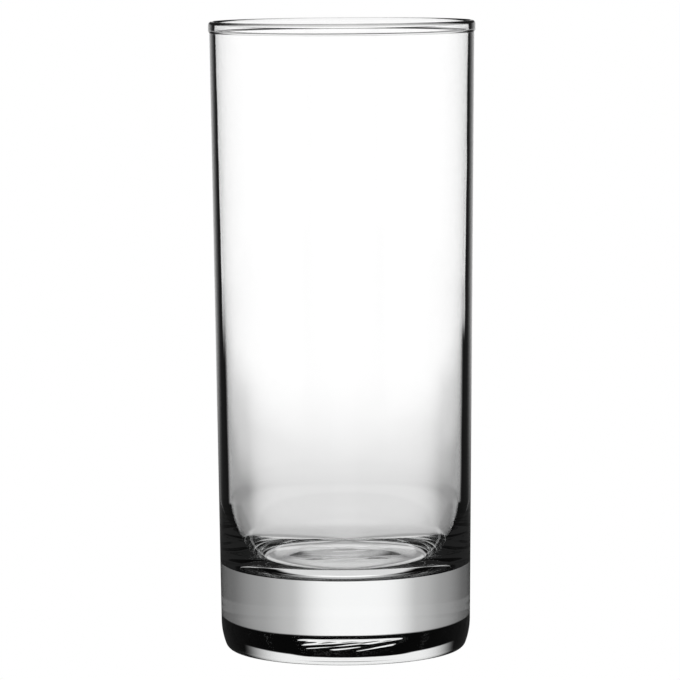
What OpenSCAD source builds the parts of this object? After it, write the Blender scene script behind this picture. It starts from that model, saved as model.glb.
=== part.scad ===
// Tall, nearly straight-sided highball glass in clear soda-lime glass.
// Origin at the centre of the foot on the table plane, +Z up through the mouth, sizes in mm.

/* [Part] */
// the piece to draw; the glass is a single piece

/* [Body] */
// overall height from the table to the top of the rim
glass_h = 145; // [110:1:180]
// outer diameter of the wall just below the rim bead
mouth_d = 60.7; // [60:0.1:70]
// outer diameter at the skirt, where the wall starts to roll in towards the foot
foot_d = 57.6; // [56:0.1:60]

/* [Foot] */
// height of the skirt above the table
skirt_h = 7; // [5:0.5:9]
// radius of the slow roll from the skirt down to the heel
skirt_r = 16; // [10:0.5:24]
// tighter rounding of the heel on to the table
heel_r = 2.2; // [1.2:0.1:4]

/* [Rim] */
// wall thickness just below the bead
rim_wall = 1.25; // [1:0.05:1.7]
// how far the bead stands out from the wall outside
bead_proud = 0.27; // [0.1:0.01:0.4]
// height of the upright side of the bead, between its two roundings
bead_band = 1.26; // [0.5:0.01:3]
// rounding of the neck between the bead and the wall
neck_r = 0.15; // [0.05:0.05:0.6]

/* [Wall] */
// height above the table at which the straight inner wall starts to sweep inward
turn_h = 35; // [32:0.5:60]
// wall thickness at that height
turn_wall = 2.7; // [2.2:0.05:2.9]

/* [Base] */
// height of the inner floor above the table, the heavy base
floor_h = 18.5; // [12:0.5:22]
// radius of the flat middle of the inner floor
floor_flat_r = 17; // [12:0.5:18]
// rounding between the inner floor and the wall
bowl_r = 8; // [5:0.5:9]
// radius of the shallow hollow under the foot
punt_r = 20; // [12:0.5:21]
// depth of that hollow at the centre
punt_depth = 0.7; // [0.3:0.1:1.2]

/* [Hidden] */

// facets of a full turn, on every round face
$fn = 180;
// share of the height added above the rim so that the cavity cuts clean through
over_share = 0.05;

mouth_r = mouth_d / 2;
foot_r = foot_d / 2;

// the bead is as thick as the wall and its own overhang; centres of its upper and lower rounding
bead_r = (rim_wall + bead_proud) / 2;
bead_x = mouth_r + bead_proud - bead_r;
bead_z = glass_h - bead_r;
band_z = bead_z - bead_band;

// where the lower rounding of the bead runs into the neck, and the foot of the neck on the wall
neck_turn = acos((mouth_r - bead_x + neck_r) / (bead_r + neck_r));
neck_z = band_z - (bead_r + neck_r) * sin(neck_turn);

// centre of the roll under the skirt, and the point at which the straight wall leaves it
skirt_x = foot_r - skirt_r;
skirt_turn = tangent_angle(skirt_x, skirt_h, skirt_r, mouth_r, neck_z);
skirt_reach = skirt_r + heel_r;

// the heel touches the roll from inside and stands on the table
heel_turn = -asin((skirt_h - heel_r) / (skirt_r - heel_r));
heel_x = skirt_x + (skirt_r - heel_r) * cos(heel_turn);

// the inner wall below the bead and at the height of the turn
inner_x = mouth_r - rim_wall;
turn_share = (turn_h - skirt_h) / (neck_z - skirt_h);
turn_x = foot_r + (mouth_r - foot_r) * turn_share - turn_wall;
inner_lean = atan2(inner_x - turn_x, neck_z - turn_h);

// the bowl rounding, and the long sweep that touches both it and the straight inner wall
bowl_z = floor_h + bowl_r;
gap_x = turn_x - floor_flat_r;
gap_z = turn_h - bowl_z;
sweep_reach = bowl_r - gap_x * cos(inner_lean) + gap_z * sin(inner_lean);
sweep_r = (bowl_r * bowl_r - gap_x * gap_x - gap_z * gap_z) / (sweep_reach + sweep_reach);
sweep_x = turn_x - sweep_r * cos(inner_lean);
sweep_z = turn_h + sweep_r * sin(inner_lean);
sweep_turn = atan2(bowl_z - sweep_z, floor_flat_r - sweep_x);

// the cavity is cut to this height above the rim
over_z = glass_h + glass_h * over_share;

// radius of the sphere that hollows the underside
punt_sphere_r = (punt_r * punt_r + punt_depth * punt_depth) / (punt_depth + punt_depth);

// direction, seen from a circle centre, of the point where a line from (px, pz) touches it
function tangent_angle(cx, cz, r, px, pz) =
    atan2(pz - cz, px - cx) - acos(r / norm([px - cx, pz - cz]));

// right half of the outer shape, from the axis out to the wall
module outer_half() {
    polygon([
        [0, 0],
        [heel_x, 0],
        [heel_x + heel_r * cos(heel_turn), heel_r + heel_r * sin(heel_turn)],
        [skirt_x + skirt_r * cos(skirt_turn), skirt_h + skirt_r * sin(skirt_turn)],
        [mouth_r, neck_z],
        [bead_x, neck_z],
        [bead_x, bead_z],
        [0, bead_z]
    ]);
    translate([heel_x, heel_r]) circle(r = heel_r);
    intersection() {
        translate([skirt_x, skirt_h]) circle(r = skirt_r);
        polygon([
            [skirt_x, skirt_h],
            [skirt_x + skirt_reach * cos(heel_turn), skirt_h + skirt_reach * sin(heel_turn)],
            [skirt_x + skirt_reach * cos(skirt_turn), skirt_h + skirt_reach * sin(skirt_turn)]
        ]);
    }
}

// right half of the inside, open at the top
module cavity_half() {
    polygon([
        [0, floor_h],
        [floor_flat_r, floor_h],
        [floor_flat_r + bowl_r * cos(sweep_turn), bowl_z + bowl_r * sin(sweep_turn)],
        [turn_x, turn_h],
        [inner_x, neck_z],
        [inner_x, over_z],
        [0, over_z]
    ]);
    translate([floor_flat_r, bowl_z]) circle(r = bowl_r);
    intersection() {
        translate([sweep_x, sweep_z]) circle(r = sweep_r);
        polygon([
            [0, floor_h],
            [floor_flat_r + bowl_r * cos(sweep_turn), bowl_z + bowl_r * sin(sweep_turn)],
            [inner_x, bowl_z],
            [inner_x, turn_h],
            [0, turn_h]
        ]);
    }
}

// section of the bead with the neck under it
module bead() {
    translate([bead_x, bead_z]) circle(r = bead_r);
    translate([bead_x, band_z]) square([bead_r, bead_band]);
    difference() {
        translate([bead_x, band_z]) circle(r = bead_r);
        translate([bead_x - bead_r, band_z - bead_r]) square([bead_r, bead_r + bead_r]);
    }
    difference() {
        polygon([
            [bead_x, neck_z],
            [mouth_r, neck_z],
            [bead_x + bead_r * cos(neck_turn), band_z - bead_r * sin(neck_turn)],
            [bead_x, band_z]
        ]);
        translate([mouth_r + neck_r, neck_z]) circle(r = neck_r);
    }
}

// the glass: heavy base, thin wall, rounded heel, hollowed underside and beaded rim
module glass() {
    color([0.86, 0.89, 0.88, 0.35])
    difference() {
        rotate_extrude() {
            difference() {
                outer_half();
                cavity_half();
            }
            bead();
        }
        translate([0, 0, punt_depth - punt_sphere_r]) sphere(r = punt_sphere_r);
    }
}

glass();
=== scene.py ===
"""A tall clear highball glass on a plain pale table in soft studio light.

Everything is in metres, +Z up, with the origin at the centre of the foot on the table plane, and the
camera looks along +Y. Sizes are written in millimetres, as a maker's drawing gives them.
"""

from __future__ import annotations

import logging
import math
from dataclasses import dataclass, field
from enum import Enum
from typing import Any

import bmesh
import bpy
from mathutils import Matrix, Vector

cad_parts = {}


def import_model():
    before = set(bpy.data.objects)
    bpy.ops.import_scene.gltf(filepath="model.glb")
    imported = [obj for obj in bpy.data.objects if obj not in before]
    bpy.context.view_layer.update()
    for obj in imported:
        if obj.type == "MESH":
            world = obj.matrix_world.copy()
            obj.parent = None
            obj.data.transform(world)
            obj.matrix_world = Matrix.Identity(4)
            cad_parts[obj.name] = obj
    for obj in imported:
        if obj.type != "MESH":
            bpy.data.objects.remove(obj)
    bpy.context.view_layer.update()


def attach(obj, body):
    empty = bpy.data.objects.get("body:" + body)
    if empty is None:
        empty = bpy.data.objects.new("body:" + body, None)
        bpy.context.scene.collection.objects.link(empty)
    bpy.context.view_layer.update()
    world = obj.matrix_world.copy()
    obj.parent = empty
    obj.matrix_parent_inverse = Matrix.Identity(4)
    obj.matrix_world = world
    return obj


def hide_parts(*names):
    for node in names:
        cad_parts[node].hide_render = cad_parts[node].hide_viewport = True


LOG = logging.getLogger("highball")
MM = 0.001
MERGE_MM = 1e-4

GLASS_BOUNCES = 24
MIRROR_BOUNCES = 16

# the counts of a light path are whole numbers, so each bound lies half-way between two of them
WENT_INSIDE = 0.5
MIRRORED = 0.5
MIRRORED_TWICE = 1.5
PAST_HOLLOW = 2.5


class Slot(Enum):
    """Material slots of the record."""

    CLEAR_GLASS = "clear_glass"


def linear(hex_colour: str) -> tuple[float, float, float, float]:
    """Turn an sRGB hex colour into linear light.

    Args:
        hex_colour: Six hex digits, such as "E8EEEC".

    Returns:
        Red, green, blue and an alpha of 1, in linear light.
    """
    toe, slope, lift, power = 0.04045, 12.92, 0.055, 2.4
    parts = [int(hex_colour[i : i + 2], 16) / 255 for i in (0, 2, 4)]
    light = [p / slope if p <= toe else ((p + lift) / (1 + lift)) ** power for p in parts]
    return (light[0], light[1], light[2], 1.0)


def add_node(
    tree: bpy.types.NodeTree,
    kind: str,
    settings: dict[str, Any] | None = None,
    links: dict[str | int, Any] | None = None,
) -> bpy.types.Node:
    """Add one node with its settings and its incoming links.

    Args:
        tree: The node tree that gets the node.
        kind: The node's type, such as "ShaderNodeMath".
        settings: Node properties by name, or input values by socket name or number.
        links: Output sockets by the name or number of the input they feed.

    Returns:
        The new node.
    """
    node = tree.nodes.new(kind)
    for name, value in (settings or {}).items():
        if isinstance(name, str) and hasattr(node, name) and name not in node.inputs:
            setattr(node, name, value)
        else:
            node.inputs[name].default_value = value
    for name, source in (links or {}).items():
        tree.links.new(source, node.inputs[name])
    return node


def sine(degrees: float) -> float:
    """Return the sine of an angle in degrees."""
    return math.sin(math.radians(degrees))


def cosine(degrees: float) -> float:
    """Return the cosine of an angle in degrees."""
    return math.cos(math.radians(degrees))


def calculate(
    tree: bpy.types.NodeTree,
    operation: str,
    first: bpy.types.NodeSocket,
    second: bpy.types.NodeSocket | float | None = None,
) -> bpy.types.NodeSocket:
    """Add one step of arithmetic.

    Args:
        tree: The node tree.
        operation: The node's operation, such as "MULTIPLY".
        first: The first value.
        second: The second value, a socket or a number.

    Returns:
        The result.
    """
    links = {0: first}
    settings: dict[Any, Any] = {"operation": operation}
    if isinstance(second, (int, float)):
        settings[1] = second
    elif second is not None:
        links[1] = second
    return add_node(tree, "ShaderNodeMath", settings, links).outputs[0]


def choose(
    tree: bpy.types.NodeTree,
    share: bpy.types.NodeSocket,
    first: bpy.types.NodeSocket,
    second: bpy.types.NodeSocket,
) -> bpy.types.NodeSocket:
    """Go over from one value to another.

    Args:
        tree: The node tree.
        share: Zero for the first value, one for the second.
        first: The first value.
        second: The second value.

    Returns:
        The chosen value.
    """
    return add_node(
        tree, "ShaderNodeMix", {"data_type": "FLOAT"}, {0: share, 2: first, 3: second}
    ).outputs[0]


def fade(
    tree: bpy.types.NodeTree, value: bpy.types.NodeSocket, none: float, full: float
) -> bpy.types.NodeSocket:
    """Rise softly from zero to one between two values.

    Args:
        tree: The node tree.
        value: The value that is looked at.
        none: Where the result is zero.
        full: Where the result is one; it may be below the other.

    Returns:
        The share between zero and one.
    """
    return add_node(
        tree,
        "ShaderNodeMapRange",
        {"interpolation_type": "SMOOTHSTEP", 1: none, 2: full, 3: 0.0, 4: 1.0},
        {0: value},
    ).outputs[0]


class SectionPen:
    """Draws the half section of a turned shape as one wire in the XZ plane, in millimetres."""

    def __init__(self, x: float, z: float) -> None:
        """Start the wire.

        Args:
            x: Distance of the first point from the axis.
            z: Height of the first point.
        """
        self.mesh = bmesh.new()
        self.tip = self.mesh.verts.new((x, 0.0, z))

    def line(self, x: float, z: float, pieces: int = 1) -> None:
        """Carry the wire on in a straight line, its pieces shorter towards both ends.

        Short pieces beside a rounding keep the smooth shading of that rounding off the straight wall.

        Args:
            x: Distance of the end from the axis.
            z: Height of the end.
            pieces: Number of pieces that the line is made of.
        """
        start, way = self.tip.co.copy(), Vector((x, 0.0, z)) - self.tip.co
        for i in range(pieces):
            share = (1 - math.cos(math.pi * (i + 1) / pieces)) / 2
            made = bmesh.ops.extrude_vert_indiv(self.mesh, verts=[self.tip])
            self.tip = made["verts"][0]
            bmesh.ops.translate(
                self.mesh, verts=[self.tip], vec=start + way * share - self.tip.co
            )

    def arc(self, x: float, z: float, degrees: float, steps: int) -> None:
        """Carry the wire on round a centre.

        Args:
            x: Distance of the centre from the axis.
            z: Height of the centre.
            degrees: How far to go, positive anticlockwise with X to the right and Z up.
            steps: Number of straight pieces.
        """
        made = bmesh.ops.spin(
            self.mesh,
            geom=[self.tip],
            cent=(x, 0.0, z),
            axis=(0.0, -1.0, 0.0),
            angle=math.radians(degrees),
            steps=steps,
            use_merge=False,
            use_duplicate=False,
        )
        self.tip = next(g for g in made["geom_last"] if isinstance(g, bmesh.types.BMVert))

    def turn(self, name: str, segments: int) -> bpy.types.Object:
        """Spin the wire once round the axis and make the result an object.

        Args:
            name: Name of the object and its mesh.
            segments: Facets of the full turn.

        Returns:
            The closed, smooth-shaded object, its place in its mesh and its unit the metre.
        """
        mesh = self.mesh
        bmesh.ops.spin(
            mesh,
            geom=list(mesh.verts) + list(mesh.edges),
            cent=(0.0, 0.0, 0.0),
            axis=(0.0, 0.0, 1.0),
            angle=math.tau,
            steps=segments,
            use_merge=True,
            use_duplicate=False,
        )
        bmesh.ops.remove_doubles(mesh, verts=mesh.verts, dist=MERGE_MM)
        bmesh.ops.scale(mesh, vec=(MM, MM, MM), verts=mesh.verts)
        bmesh.ops.recalc_face_normals(mesh, faces=mesh.faces)
        for face in mesh.faces:
            face.smooth = True
        data = bpy.data.meshes.new(name)
        mesh.to_mesh(data)
        mesh.free()
        made = bpy.data.objects.new(name, data)
        bpy.context.scene.collection.objects.link(made)
        return made


def tangent(cx: float, cz: float, r: float, px: float, pz: float) -> float:
    """Find where a line from a point touches a circle, clockwise from the point's own direction.

    Args:
        cx: Distance of the circle's centre from the axis.
        cz: Height of the circle's centre.
        r: Radius of the circle.
        px: Distance of the point from the axis.
        pz: Height of the point.

    Returns:
        Direction of the touching point seen from the centre, in degrees.
    """
    away = math.hypot(px - cx, pz - cz)
    return math.degrees(math.atan2(pz - cz, px - cx) - math.acos(r / away))


@dataclass(frozen=True)
class RipplePatch:
    """Close ripples on a small patch of the skin. Sizes are in millimetres.

    Attributes:
        size: Length of one ripple along X, Y and Z, before it is turned.
        turned: How far the ripples are turned about X, Y and Z, in degrees.
        depth: Height of the crests.
        low: Corner of the patch with the lowest X, Y and Z.
        high: Corner of the patch with the highest X, Y and Z.
        soft: How far outside the corners it is gone, along X, Y and Z.
    """

    size: tuple[float, float, float]
    turned: tuple[float, float, float]
    depth: float
    low: tuple[float, float, float]
    high: tuple[float, float, float]
    soft: tuple[float, float, float]

    def height(
        self, tree: bpy.types.NodeTree, place: bpy.types.NodeSocket
    ) -> bpy.types.NodeSocket:
        """Add the nodes of the patch.

        Args:
            tree: The material's node tree.
            place: Object coordinates.

        Returns:
            The height of the skin, in metres.
        """
        stretched = add_node(
            tree,
            "ShaderNodeMapping",
            {
                "vector_type": "TEXTURE",
                "Rotation": [math.radians(turn) for turn in self.turned],
                "Scale": [size * MM for size in self.size],
            },
            {"Vector": place},
        )
        height = add_node(
            tree, "ShaderNodeTexNoise", {"Scale": 1.0, "Detail": 0.0}, {0: stretched.outputs[0]}
        ).outputs[0]
        split = add_node(tree, "ShaderNodeSeparateXYZ", links={0: place}).outputs
        for axis in range(3):
            low, high, soft = self.low[axis], self.high[axis], self.soft[axis]
            for none, full in ((low - soft, low), (high + soft, high)):
                share = fade(tree, split[axis], none * MM, full * MM)
                height = calculate(tree, "MULTIPLY", height, share)
        return calculate(tree, "MULTIPLY", height, self.depth * MM)


@dataclass(frozen=True)
class SodaLimeGlass:
    """Clear soda-lime glass, fire-polished. Sizes are in millimetres.

    The flame leaves a skin with no grain at all, so the surface is mirror-smooth and only slow waves
    of the once soft wall bend what is seen through it. The shears that cut the hot gob leave closer
    ripples in the middle of the base, which show as soft streaks in its floor, and the cooling mould
    leaves a few on the front of the foot, which show as light streaks in its dark lower edge. The
    trace of iron in the sand tints long paths through the base a little towards green.
    """

    body: str = "FFFFFF"
    ior: float = 1.52
    tint: str = "DCE9E6"
    tint_density: float = 1.2
    wave: float = 11.0
    wave_depth: float = 0.025
    floor_ripples: RipplePatch = RipplePatch(
        size=(10, 1.1, 30),
        turned=(0, 0, 8),
        depth=0.055,
        low=(-8, -6, -1),
        high=(8, 6, 18.6),
        soft=(5, 5, 0.4),
    )
    foot_streaks: RipplePatch = RipplePatch(
        size=(9, 30, 0.6),
        turned=(0, -6, 0),
        depth=0.031,
        low=(-8, -40, 3.0),
        high=(11, -20, 5.4),
        soft=(5, 6, 1.0),
    )

    def make(self) -> bpy.types.Material:
        """Make the material.

        Returns:
            The finished material.
        """
        made = bpy.data.materials.new("fire_polished_soda_lime_glass")
        made.use_nodes = True
        tree = made.node_tree
        tree.nodes.clear()
        surface = add_node(
            tree,
            "ShaderNodeBsdfPrincipled",
            {
                "Base Color": linear(self.body),
                "Roughness": 0.0,
                "IOR": self.ior,
                "Transmission Weight": 1.0,
            },
            {"Normal": self.skin(tree)},
        )
        inside = add_node(
            tree,
            "ShaderNodeVolumeAbsorption",
            {"Color": linear(self.tint), "Density": self.tint_density},
        )
        add_node(
            tree,
            "ShaderNodeOutputMaterial",
            links={"Surface": surface.outputs[0], "Volume": inside.outputs[0]},
        )
        return made

    def skin(self, tree: bpy.types.NodeTree) -> bpy.types.NodeSocket:
        """Add the waves of the skin.

        Args:
            tree: The material's node tree.

        Returns:
            The normal of the waved skin.
        """
        place = add_node(tree, "ShaderNodeTexCoord").outputs["Object"]
        waves = add_node(
            tree, "ShaderNodeTexNoise", {"Scale": 1 / (self.wave * MM), "Detail": 0.0}, {0: place}
        ).outputs[0]
        height = calculate(tree, "MULTIPLY", waves, self.wave_depth * MM)
        for patch in (self.floor_ripples, self.foot_streaks):
            height = calculate(tree, "ADD", height, patch.height(tree, place))
        return add_node(
            tree, "ShaderNodeBump", {"Strength": 1.0, "Distance": 1.0}, {"Height": height}
        ).outputs[0]


@dataclass(frozen=True)
class Steps:
    """How many straight steps each part of the half section is drawn with, from the table up."""

    punt: int = 12
    rest: int = 2
    heel: int = 16
    skirt: int = 12
    wall: int = 28
    neck: int = 8
    bead_foot: int = 8
    bead_side: int = 4
    lip: int = 32
    under_lip: int = 6
    sweep: int = 20
    bowl: int = 24
    floor: int = 8


@dataclass
class Tumbler:
    """The glass itself, turned from one closed half section. All sizes are in millimetres."""

    height: float = 145.0
    mouth_d: float = 60.7
    foot_d: float = 57.6
    heel_r: float = 2.2
    skirt_h: float = 7.0
    skirt_r: float = 16.0
    bead_proud: float = 0.27
    bead_band: float = 1.26
    neck_r: float = 0.15
    rim_wall: float = 1.25
    turn_wall: float = 2.7
    turn_h: float = 35.0
    floor_h: float = 18.5
    floor_flat_r: float = 17.0
    bowl_r: float = 8.0
    punt_r: float = 20.0
    punt_depth: float = 0.7
    segments: int = 256
    steps: Steps = field(default_factory=Steps)
    finish: SodaLimeGlass = field(default_factory=SodaLimeGlass)

    def section(self) -> SectionPen:
        """Draw the half section, from the middle of the underside round to the middle of the floor.

        Returns:
            The pen with the finished wire.
        """
        mouth_r, foot_r = self.mouth_d / 2, self.foot_d / 2
        # the bead is as thick as the wall and its own overhang: round on top, upright on the side
        bead_r = (self.rim_wall + self.bead_proud) / 2
        bead_x, bead_z = mouth_r + self.bead_proud - bead_r, self.height - bead_r
        band_z = bead_z - self.bead_band
        neck_turn = math.degrees(math.acos((mouth_r - bead_x + self.neck_r) / (bead_r + self.neck_r)))
        neck_z = band_z - (bead_r + self.neck_r) * sine(neck_turn)
        # the wall rolls in under the skirt, then round a tighter heel on to the table
        skirt_x = foot_r - self.skirt_r
        skirt_turn = tangent(skirt_x, self.skirt_h, self.skirt_r, mouth_r, neck_z)
        inset = self.skirt_r - self.heel_r
        heel_turn = math.degrees(math.asin((self.skirt_h - self.heel_r) / inset))
        heel_x = skirt_x + inset * cosine(heel_turn)
        share = (self.turn_h - self.skirt_h) / (neck_z - self.skirt_h)
        turn_x = foot_r + (mouth_r - foot_r) * share - self.turn_wall
        bowl_z = self.floor_h + self.bowl_r
        inner_x = mouth_r - self.rim_wall
        # the long sweep that leaves the straight inner wall and rolls into the bowl rounding
        lean = math.degrees(math.atan2(inner_x - turn_x, neck_z - self.turn_h))
        square = Vector((-cosine(lean), sine(lean)))
        gap = Vector((turn_x - self.floor_flat_r, self.turn_h - bowl_z))
        sweep_r = (self.bowl_r**2 - gap.length_squared) / (2 * (gap.dot(square) + self.bowl_r))
        sweep_x, sweep_z = Vector((turn_x, self.turn_h)) + square * sweep_r
        bowl_turn = math.degrees(math.atan2(bowl_z - sweep_z, self.floor_flat_r - sweep_x))
        sphere_r = (self.punt_r**2 + self.punt_depth**2) / (2 * self.punt_depth)
        punt_half = math.degrees(math.asin(self.punt_r / sphere_r))

        count = self.steps
        pen = SectionPen(0.0, self.punt_depth)
        pen.arc(0.0, self.punt_depth - sphere_r, -punt_half, count.punt)
        pen.line(heel_x, 0.0, count.rest)
        pen.arc(heel_x, self.heel_r, 90 - heel_turn, count.heel)
        pen.arc(skirt_x, self.skirt_h, heel_turn + skirt_turn, count.skirt)
        pen.line(mouth_r, neck_z, count.wall)
        pen.arc(mouth_r + self.neck_r, neck_z, -neck_turn, count.neck)
        pen.arc(bead_x, band_z, neck_turn, count.bead_foot)
        pen.line(bead_x + bead_r, bead_z, count.bead_side)
        pen.arc(bead_x, bead_z, 180, count.lip)
        pen.line(inner_x, neck_z, count.under_lip)
        pen.line(turn_x, self.turn_h, count.wall)
        pen.arc(sweep_x, sweep_z, bowl_turn + lean, count.sweep)
        pen.arc(self.floor_flat_r, bowl_z, -90 - bowl_turn, count.bowl)
        pen.line(0.0, self.floor_h, count.floor)
        return pen

    def build(self) -> list[bpy.types.Object]:
        """Build and dress the glass.

        Returns:
            The pieces of the glass.
        """
        piece = self.section().turn("glass_body", self.segments)
        piece.data.materials.append(self.finish.make())
        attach(piece, "root")
        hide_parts("glass")
        return [piece]


@dataclass(frozen=True)
class PhotoCamera:
    """The photograph's camera, for a frame of 680 by 680. Sizes are in millimetres."""

    away: float = 1027.0
    height: float = 170.4
    sideways: float = -0.89
    down: float = 5.50
    roll: float = -0.40
    focal_px: float = 4474.0
    frame_px: float = 680.0
    sensor: float = 36.0
    nearest: float = 50.0
    farthest: float = 20000.0

    def build(self) -> bpy.types.Object:
        """Make the camera the scene's camera.

        Returns:
            The camera object.
        """
        data = bpy.data.cameras.new("photo_camera")
        data.sensor_width = self.sensor
        data.lens = self.focal_px / self.frame_px * self.sensor
        data.clip_start, data.clip_end = self.nearest * MM, self.farthest * MM
        data.dof.use_dof = False
        camera = bpy.data.objects.new("photo_camera", data)
        bpy.context.scene.collection.objects.link(camera)
        place = Matrix.Translation((self.sideways * MM, -self.away * MM, self.height * MM))
        tilt = Matrix.Rotation(math.radians(90 - self.down), 4, "X")
        camera.matrix_world = place @ tilt @ Matrix.Rotation(math.radians(self.roll), 4, "Z")
        bpy.context.scene.camera = camera
        return camera


class Facing(Enum):
    """Sides of the set on which a card stands, as seen from the glass."""

    ALL_ROUND = "all round"
    ENDS = "ahead and behind"
    SIDES = "left and right"
    FOUR = "all four sides"
    CORNERS = "all four corners"


@dataclass(frozen=True)
class Bearings:
    """How a direction lies to the set, as sockets of the world's node tree.

    Attributes:
        height: Sine of the elevation of the direction.
        facing: Cosine of the angle to the middle of the nearest card, for each kind of facing.
    """

    height: bpy.types.NodeSocket
    facing: dict[Facing, bpy.types.NodeSocket]


@dataclass(frozen=True)
class SoftCard:
    """A soft-edged patch of light around the set, given by directions seen from the glass, in degrees.

    Attributes:
        level: Brightness of the patch, one for plain white.
        bottom: Elevation of the lower edge; -90 for none.
        top: Elevation of the upper edge; 90 for none.
        bottom_soft: How far below the lower edge it is gone.
        top_soft: How far above the upper edge it is gone.
        half_width: How far the patch reaches to either side of its middle.
        side_soft: How far beyond that it is gone.
        facing: Where the middles of its copies stand.
    """

    level: float
    bottom: float
    top: float
    bottom_soft: float
    top_soft: float
    half_width: float = 180.0
    side_soft: float = 1.0
    facing: Facing = Facing.ALL_ROUND

    def add_to(self, tree: bpy.types.NodeTree, bearings: Bearings) -> bpy.types.NodeSocket:
        """Add the nodes of the patch.

        Args:
            tree: The world's node tree.
            bearings: How the direction lies to the set.

        Returns:
            The brightness of the patch in that direction.
        """
        edges = []
        if self.bottom > -90:
            edges.append(
                (bearings.height, sine(self.bottom - self.bottom_soft), sine(self.bottom))
            )
        if self.top < 90:
            edges.append((bearings.height, sine(self.top + self.top_soft), sine(self.top)))
        if self.facing is not Facing.ALL_ROUND:
            side = bearings.facing[self.facing]
            edges.append(
                (side, cosine(self.half_width + self.side_soft), cosine(self.half_width))
            )
        light = add_node(tree, "ShaderNodeValue").outputs[0]
        light.default_value = self.level
        for source, dark, lit in edges:
            light = calculate(tree, "MULTIPLY", light, fade(tree, source, dark, lit))
        return light


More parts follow.
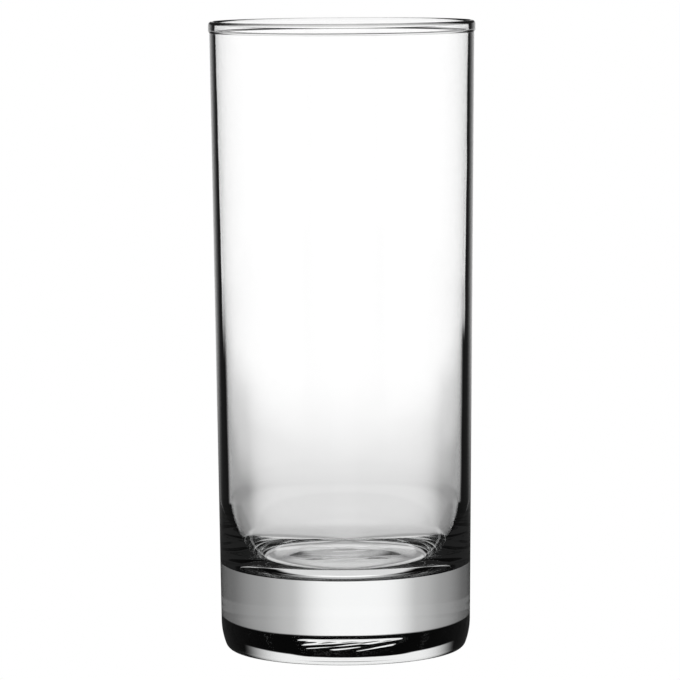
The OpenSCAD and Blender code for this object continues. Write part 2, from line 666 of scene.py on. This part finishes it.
@dataclass(frozen=True)
class Studio:
    """The table and the light.

    The camera sees a plain white set. What shows in the glass is softer and darker, and it differs
    with the way the light took: past the solid base alone, through the hollow too, mirrored inside
    once or more often on either way, or only glanced off the skin. The cards at the corners hardly
    show from the front: they keep the glass clear when it is seen from higher up and across.
    """

    table_d: float = 12000.0
    table: str = "FFFFFF"
    white: float = 1.0
    base_turned: float = -3.5
    through_base: tuple[SoftCard, ...] = (
        SoftCard(0.18, -90, 2, 0, 1),
        SoftCard(0.21, -90, 2, 0, 1, 20, 40, Facing.ENDS),
        SoftCard(0.21, -90, 2, 0, 1, 10, 25, Facing.ENDS),
        SoftCard(0.42, -90, 2, 0, 1, 3, 19, Facing.ENDS),
        SoftCard(0.95, 9.8, 90, 0.4, 0, 22, 28, Facing.ENDS),
        SoftCard(0.60, -90, -13, 0, 3, 20, 10, Facing.CORNERS),
    )
    through_hollow: tuple[SoftCard, ...] = (
        SoftCard(0.42, -6.7, 3, 1.2, 8),
        SoftCard(0.28, -7.8, 3, 1.0, 8),
        SoftCard(0.40, -90, 3, 0, 8),
        SoftCard(0.22, -90, -7.7, 0, 1, 3, 6, Facing.FOUR),
        SoftCard(0.23, -12, -8.9, 30, 1, 3, 7, Facing.FOUR),
        SoftCard(0.50, -90, -13, 0, 4, 20, 10, Facing.CORNERS),
    )
    mirrored_in_base: tuple[SoftCard, ...] = (
        SoftCard(1.0, -6.7, -1, 1.2, 3, 56, 2, Facing.SIDES),
        SoftCard(0.60, -9.2, -7.9, 1.6, 1.2, 46, 8, Facing.SIDES),
        SoftCard(0.75, -90, -55, 0, 10),
        SoftCard(0.40, -58, -34, 10, 5, 14, 10, Facing.ENDS),
        SoftCard(0.28, -39, -12, 6, 6, 8, 5, Facing.ENDS),
        SoftCard(0.35, 0.5, 4, 1.5, 2),
        SoftCard(0.35, 16, 90, 5, 0, 20, 12, Facing.CORNERS),
        SoftCard(0.30, 60, 90, 10, 0),
    )
    mirrored_past_hollow: tuple[SoftCard, ...] = (
        SoftCard(0.40, -6.7, 0, 1.2, 3),
        SoftCard(0.60, -8.2, 0, 1.6, 3),
        SoftCard(0.45, 24, 38, 6, 12, 30, 30, Facing.ENDS),
        SoftCard(0.40, 24, 90, 6, 0, 30, 30, Facing.ENDS),
    )
    often_in_base: tuple[SoftCard, ...] = (SoftCard(0.012, -90, 90, 0, 0),)
    often_past_hollow: tuple[SoftCard, ...] = (
        SoftCard(0.012, -90, 90, 0, 0),
        SoftCard(0.60, 34, 90, 8, 0, 40, 25, Facing.ENDS),
    )
    glanced: tuple[SoftCard, ...] = (
        SoftCard(0.04, -90, 90, 0, 0),
        SoftCard(0.70, -5, 2, 3.5, 4, 8, 26, Facing.ENDS),
    )

    def build(self) -> None:
        """Make the table and light the scene."""
        self.lay_table()
        self.light_set()

    def lay_table(self) -> None:
        """Make the table top, which the camera sees and the glass doesn't."""
        mesh = bmesh.new()
        bmesh.ops.create_grid(mesh, x_segments=1, y_segments=1, size=self.table_d * MM / 2)
        data = bpy.data.meshes.new("table_top")
        mesh.to_mesh(data)
        mesh.free()
        table = bpy.data.objects.new("table_top", data)
        bpy.context.scene.collection.objects.link(table)
        paint = bpy.data.materials.new("white_table")
        paint.use_nodes = True
        tree = paint.node_tree
        tree.nodes.clear()
        glow = add_node(
            tree, "ShaderNodeEmission", {"Color": linear(self.table), "Strength": self.white}
        )
        add_node(tree, "ShaderNodeOutputMaterial", links={"Surface": glow.outputs[0]})
        data.materials.append(paint)
        table.visible_transmission = False
        table.visible_glossy = False

    def light_set(self) -> None:
        """Light the set from all round through the world."""
        world = bpy.data.worlds.new("studio")
        world.use_nodes = True
        bpy.context.scene.world = world
        tree = world.node_tree
        tree.nodes.clear()
        base = self.sum_of(tree, self.through_base, self.base_turned)
        hollow, in_base, past_hollow, often_in_base, often_past_hollow, glanced = (
            self.sum_of(tree, cards, 0.0)
            for cards in (
                self.through_hollow,
                self.mirrored_in_base,
                self.mirrored_past_hollow,
                self.often_in_base,
                self.often_past_hollow,
                self.glanced,
            )
        )
        white = add_node(tree, "ShaderNodeValue").outputs[0]
        white.default_value = self.white
        path = add_node(tree, "ShaderNodeLightPath").outputs
        crossed, turned_back = path["Transmission Depth"], path["Glossy Depth"]
        mirrored = calculate(tree, "GREATER_THAN", turned_back, MIRRORED)
        twice = calculate(tree, "GREATER_THAN", turned_back, MIRRORED_TWICE)
        past = calculate(tree, "GREATER_THAN", crossed, PAST_HOLLOW)
        outside = calculate(tree, "LESS_THAN", crossed, WENT_INSIDE)
        in_base = choose(tree, twice, in_base, often_in_base)
        past_hollow = choose(tree, twice, past_hollow, often_past_hollow)
        light = choose(
            tree,
            past,
            choose(tree, mirrored, base, in_base),
            choose(tree, mirrored, hollow, past_hollow),
        )
        light = choose(tree, outside, light, glanced)
        met_glass = calculate(tree, "ADD", path["Is Transmission Ray"], path["Is Glossy Ray"])
        light = choose(tree, met_glass, white, light)
        sky = add_node(
            tree, "ShaderNodeBackground", {"Color": (1.0, 1.0, 1.0, 1.0)}, {"Strength": light}
        )
        add_node(tree, "ShaderNodeOutputWorld", links={"Surface": sky.outputs[0]})

    @staticmethod
    def bearings(tree: bpy.types.NodeTree, turned: float) -> Bearings:
        """Work out how each direction lies to the set.

        Args:
            tree: The world's node tree.
            turned: How far the cards are turned about the glass, in degrees, positive to the right.

        Returns:
            The bearings, measured from the middle of the cards.
        """
        way = add_node(tree, "ShaderNodeTexCoord").outputs["Generated"]
        swung = add_node(
            tree,
            "ShaderNodeVectorRotate",
            {"rotation_type": "Z_AXIS", "Angle": math.radians(turned)},
            {"Vector": way},
        )
        split = add_node(tree, "ShaderNodeSeparateXYZ", links={0: swung.outputs[0]}).outputs
        level = add_node(tree, "ShaderNodeCombineXYZ", links={0: split[0], 1: split[1]})
        reach = add_node(
            tree, "ShaderNodeVectorMath", {"operation": "LENGTH"}, {0: level.outputs[0]}
        ).outputs["Value"]
        sides, ends = (
            calculate(tree, "DIVIDE", calculate(tree, "ABSOLUTE", split[i]), reach) for i in (0, 1)
        )
        diagonals = calculate(tree, "MULTIPLY", calculate(tree, "ADD", sides, ends), cosine(45))
        return Bearings(
            split[2],
            {
                Facing.SIDES: sides,
                Facing.ENDS: ends,
                Facing.FOUR: calculate(tree, "MAXIMUM", sides, ends),
                Facing.CORNERS: diagonals,
            },
        )

    def sum_of(
        self, tree: bpy.types.NodeTree, cards: tuple[SoftCard, ...], turned: float
    ) -> bpy.types.NodeSocket:
        """Add up a number of soft cards.

        Args:
            tree: The world's node tree.
            cards: The cards.
            turned: How far the cards are turned about the glass, in degrees.

        Returns:
            Their brightness together.
        """
        bearings = self.bearings(tree, turned)
        total = cards[0].add_to(tree, bearings)
        for card in cards[1:]:
            total = calculate(tree, "ADD", total, card.add_to(tree, bearings))
        return total


def set_up_render() -> None:
    """Set the light bounces that thick glass needs and a plain view of its tones."""
    scene = bpy.context.scene
    scene.view_settings.view_transform = "Standard"
    scene.view_settings.look = "None"
    scene.cycles.max_bounces = GLASS_BOUNCES
    scene.cycles.transmission_bounces = GLASS_BOUNCES
    scene.cycles.glossy_bounces = MIRROR_BOUNCES


def main() -> None:
    """Build the glass, its table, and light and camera."""
    logging.basicConfig(level=logging.INFO, format="%(name)s: %(message)s")
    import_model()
    set_up_render()
    for piece in Tumbler().build():
        LOG.info("%s: %d faces", piece.name, len(piece.data.polygons))
    Studio().build()
    PhotoCamera().build()


if __name__ == "__main__":
    main()
